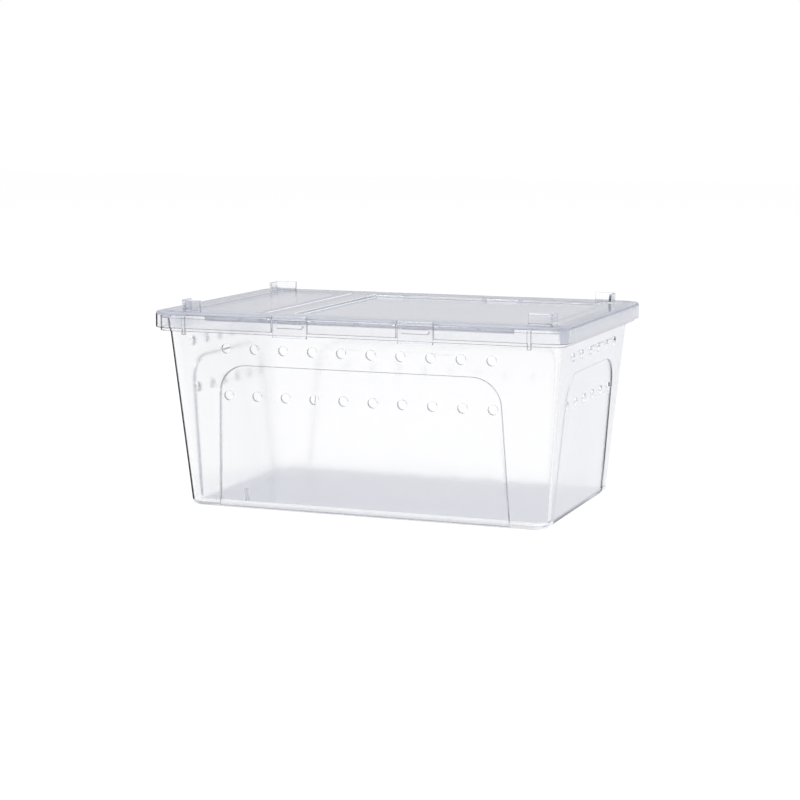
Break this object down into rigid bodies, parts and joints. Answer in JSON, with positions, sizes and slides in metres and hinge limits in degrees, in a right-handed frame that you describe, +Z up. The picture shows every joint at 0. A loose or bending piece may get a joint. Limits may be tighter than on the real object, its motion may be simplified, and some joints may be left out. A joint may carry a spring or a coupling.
{
  "type": "reptile breeding box",
  "caption": "Clear drafted plastic tub with rows of vent holes and a lift-off lid that has a hinged feeding hatch, hinged side latches and stacking lugs.",
  "frame": {"origin": "middle of the tub's base, on the surface it stands on", "axes": "+X along the length, towards the end away from the hatch; -Y is the front, which the picture shows; +Z up"},
  "size_m": [0.191, 0.1276, 0.0926],
  "materials": {
    "tub": "clear moulded plastic, polished",
    "lid": "clear moulded plastic, polished",
    "hatch": "clear moulded plastic, polished",
    "latches": "clear moulded plastic, polished"
  },
  "bodies": {
    "tub": {"tub": "tub"},
    "lid": {"lid": "lid"},
    "hatch": {"hatch": "hatch"},
    "latch_front_left": {"latch_front_left": "latches"},
    "latch_front_right": {"latch_front_right": "latches"},
    "latch_back_left": {"latch_back_left": "latches"},
    "latch_back_right": {"latch_back_right": "latches"}
  },
  "joints": [
    {"name": "lid_lift", "type": "slide", "parent": "tub", "child": "lid", "axis": [0, 0, 1], "range_m": [0, 0.1]},
    {"name": "hatch_hinge", "type": "hinge", "parent": "lid", "child": "hatch", "pos_m": [-0.04501, 0, 0.0871], "axis": [0, 1, 0], "range_deg": [0, 95]},
    {"name": "latch_front_left_hinge", "type": "hinge", "parent": "lid", "child": "latch_front_left", "pos_m": [-0.0288, -0.0625, 0.0872], "axis": [-1, 0, 0], "range_deg": [0, 110]},
    {"name": "latch_front_right_hinge", "type": "hinge", "parent": "lid", "child": "latch_front_right", "pos_m": [0.0288, -0.0625, 0.0872], "axis": [-1, 0, 0], "range_deg": [0, 110]},
    {"name": "latch_back_left_hinge", "type": "hinge", "parent": "lid", "child": "latch_back_left", "pos_m": [-0.0288, 0.0625, 0.0872], "axis": [1, 0, 0], "range_deg": [0, 110]},
    {"name": "latch_back_right_hinge", "type": "hinge", "parent": "lid", "child": "latch_back_right", "pos_m": [0.0288, 0.0625, 0.0872], "axis": [1, 0, 0], "range_deg": [0, 110]}
  ]
}
